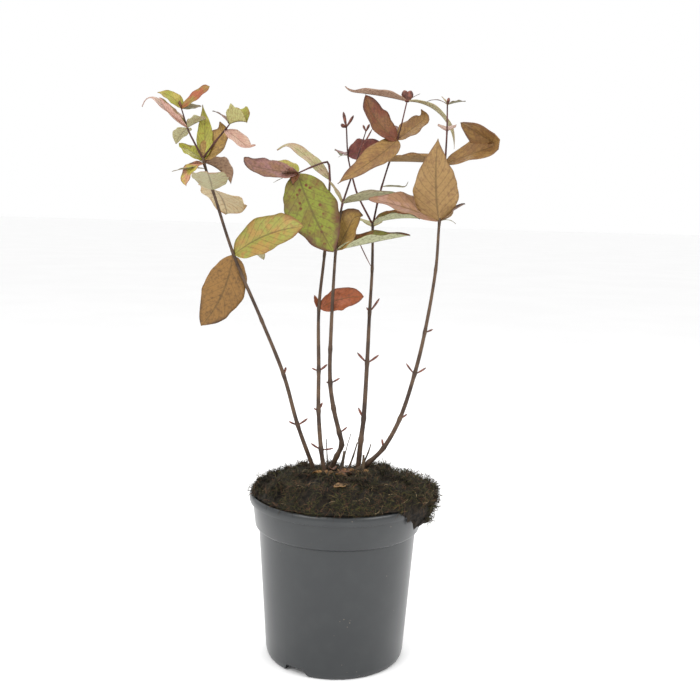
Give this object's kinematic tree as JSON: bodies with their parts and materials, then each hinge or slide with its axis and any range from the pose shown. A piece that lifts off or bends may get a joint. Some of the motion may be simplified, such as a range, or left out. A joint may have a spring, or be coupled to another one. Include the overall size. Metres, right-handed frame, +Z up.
{
  "type": "potted hypericum",
  "caption": "Young hypericum shrub of five thin canes with autumn leaves, in a round dark grey nursery pot heaped with moss and peat.",
  "frame": {"origin": "centre of the flat pad under the pot, on the ground", "axes": "+Z up along the pot's axis, -Y towards the viewer of the front, +X to the viewer's right"},
  "size_m": [0.3164, 0.1775, 0.552],
  "materials": {
    "pot_plastic": "satin",
    "compost": "matte",
    "bark": "matte",
    "leaf": "matte",
    "dead_wood": "matte"
  },
  "bodies": {
    "root": {"pot": "pot_plastic", "root_ball": "compost", "cane_left": "bark", "cane_mid_left": "bark", "cane_middle": "bark", "cane_mid_right": "bark", "cane_right": "bark", "bough_left_outer": "bark", "bough_left_inner": "bark", "bough_mid_right_left": "bark", "bough_mid_right_right": "bark", "foliage_left_low": "leaf", "foliage_left_middle": "leaf", "foliage_left_fork": "leaf", "foliage_left_outer": "leaf", "foliage_left_inner": "leaf", "foliage_mid_left_low": "leaf", "foliage_mid_left_top": "leaf", "foliage_middle_low": "leaf", "foliage_middle_top": "leaf", "foliage_mid_right_fork": "leaf", "foliage_mid_right_left": "leaf", "foliage_mid_right_right": "leaf", "foliage_right_low": "leaf", "foliage_right_top": "leaf", "stub_thin_left": "dead_wood", "stub_dark": "dead_wood", "stub_straw": "dead_wood", "stub_middle": "dead_wood", "stub_right": "dead_wood", "stub_shoot": "dead_wood"}
  },
  "joints": []
}
